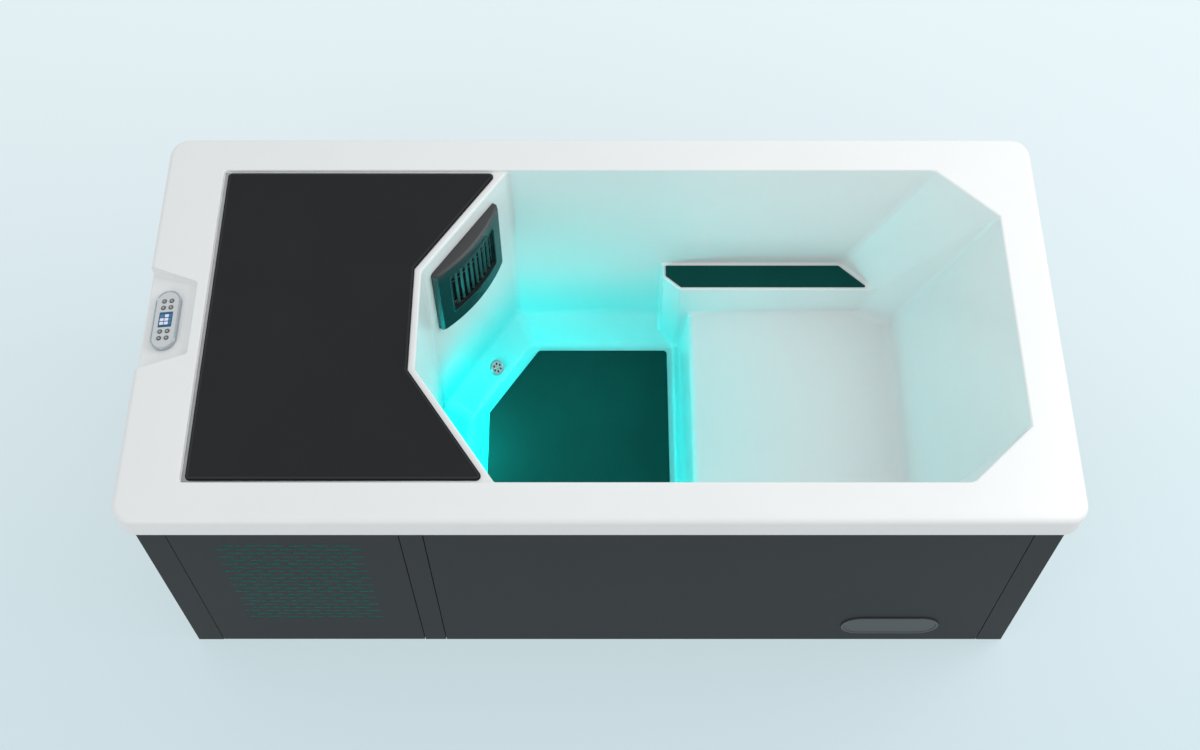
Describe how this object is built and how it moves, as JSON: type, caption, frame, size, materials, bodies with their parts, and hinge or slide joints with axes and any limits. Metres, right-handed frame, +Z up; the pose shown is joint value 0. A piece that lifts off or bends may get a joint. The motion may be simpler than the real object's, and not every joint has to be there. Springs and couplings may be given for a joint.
{
  "type": "cold plunge tub",
  "caption": "Rectangular cold plunge tub with a footwell, seat, sloped backrest and armrests, a padded deck over a built-in chiller, and a vented access panel.",
  "frame": {"origin": "on the floor at the middle of the rim's footprint", "axes": "+X runs from the control end to the backrest, -Y is the front with the vents, +Z is up"},
  "size_m": [2, 0.984, 0.731],
  "materials": {
    "shell": "gloss acrylic",
    "pad": "matt closed-cell foam",
    "mat": "matt closed-cell foam",
    "keypad": "satin",
    "chrome": "polished",
    "screen": "lit display",
    "button": "satin",
    "black_cable": "matt",
    "filter_plastic": "satin",
    "grille": "satin",
    "filter_paper": "pleated polyester",
    "white_plastic": "satin",
    "lens": "clear",
    "foam": "rigid foam",
    "pan": "satin",
    "frame_steel": "satin",
    "cabinet": "satin",
    "zinc": "zinc plated",
    "badge_frame": "satin",
    "badge_face": "gloss",
    "fins": "mill",
    "black_steel": "satin",
    "motor_grey": "satin",
    "black_plastic": "satin",
    "black_rubber": "matt",
    "exchanger_shell": "satin",
    "impeller": "satin",
    "box_plastic": "satin",
    "white_pipe": "satin",
    "copper": "bright copper",
    "brass": "satin",
    "red_lever": "gloss"
  },
  "bodies": {
    "tub": {"tub_rim": "shell", "footwell_shell": "shell", "seat_front_shell": "shell", "seat_shell": "shell", "deck_pad": "pad", "footwell_mat": "mat", "rear_armrest_pad": "mat", "front_armrest_pad": "mat", "keypad_housing": "keypad", "keypad_bezel": "chrome", "keypad_screen": "screen", "keypad_cable": "black_cable", "filter_housing": "white_plastic", "return_fitting": "chrome", "led_lens": "lens", "led_housing": "white_plastic", "support_foam": "foam", "base_pan": "pan", "sill_rails": "frame_steel", "end_sill_rails": "frame_steel", "top_rails": "frame_steel", "end_top_rails": "frame_steel", "corner_posts": "cabinet", "frame_bolts": "zinc", "front_mullion": "cabinet", "front_panel": "cabinet", "rear_panel": "cabinet", "left_end_panel": "cabinet", "right_end_panel": "cabinet", "badge_bezel": "badge_frame", "badge_lens": "badge_face", "condenser_coil": "fins", "fan_shroud": "black_steel", "fan_motor": "motor_grey", "compressor": "black_steel", "compressor_mounts": "black_rubber", "heat_exchanger": "exchanger_shell", "pump_housing": "black_plastic", "pump_motor": "motor_grey", "control_box": "box_plastic", "power_gland": "black_plastic", "water_pipes": "white_pipe", "copper_lines": "copper", "vapour_line": "copper", "drain_valve": "brass"},
    "filter_unit": {"filter_cover": "filter_plastic", "filter_grille": "grille", "filter_cartridge": "filter_paper"},
    "access_door": {"access_panel": "cabinet"},
    "fan_rotor": {"fan_blade": "black_plastic"},
    "pump_rotor": {"pump_impeller": "impeller"},
    "valve_lever": {"drain_lever": "red_lever"},
    "key_1": {"button_1": "button"},
    "key_2": {"button_2": "button"},
    "key_3": {"button_3": "button"},
    "key_4": {"button_4": "button"},
    "key_5": {"button_5": "button"},
    "key_6": {"button_6": "button"},
    "key_7": {"button_7": "button"},
    "key_8": {"button_8": "button"}
  },
  "joints": [
    {"name": "filter_slide", "type": "slide", "parent": "tub", "child": "filter_unit", "axis": [0.833, -0.5533, 0], "range_m": [0, 0.25]},
    {"name": "access_panel_slide", "type": "slide", "parent": "tub", "child": "access_door", "axis": [0, -1, 0], "range_m": [0, 0.15]},
    {"name": "fan_spin", "type": "hinge", "parent": "tub", "child": "fan_rotor", "pos_m": [-0.6695, -0.353, 0.29], "axis": [0, 1, 0], "continuous": true},
    {"name": "pump_spin", "type": "hinge", "parent": "tub", "child": "pump_rotor", "pos_m": [-0.60083, 0.29283, 0.09], "axis": [1, 0, 0], "continuous": true},
    {"name": "drain_lever_turn", "type": "hinge", "parent": "tub", "child": "valve_lever", "pos_m": [-0.903, 0.13, 0.06], "axis": [0, 0, -1], "range_deg": [0, 90]},
    {"name": "key_press_1", "type": "slide", "parent": "tub", "child": "key_1", "axis": [0.1465, 0, -0.9892], "range_m": [0, 0.0008], "stiffness_N_per_m": 600},
    {"name": "key_press_2", "type": "slide", "parent": "tub", "child": "key_2", "axis": [0.1465, 0, -0.9892], "range_m": [0, 0.0008], "stiffness_N_per_m": 600},
    {"name": "key_press_3", "type": "slide", "parent": "tub", "child": "key_3", "axis": [0.1465, 0, -0.9892], "range_m": [0, 0.0008], "stiffness_N_per_m": 600},
    {"name": "key_press_4", "type": "slide", "parent": "tub", "child": "key_4", "axis": [0.1465, 0, -0.9892], "range_m": [0, 0.0008], "stiffness_N_per_m": 600},
    {"name": "key_press_5", "type": "slide", "parent": "tub", "child": "key_5", "axis": [0.1465, 0, -0.9892], "range_m": [0, 0.0008], "stiffness_N_per_m": 600},
    {"name": "key_press_6", "type": "slide", "parent": "tub", "child": "key_6", "axis": [0.1465, 0, -0.9892], "range_m": [0, 0.0008], "stiffness_N_per_m": 600},
    {"name": "key_press_7", "type": "slide", "parent": "tub", "child": "key_7", "axis": [0.1465, 0, -0.9892], "range_m": [0, 0.0008], "stiffness_N_per_m": 600},
    {"name": "key_press_8", "type": "slide", "parent": "tub", "child": "key_8", "axis": [0.1465, 0, -0.9892], "range_m": [0, 0.0008], "stiffness_N_per_m": 600}
  ]
}
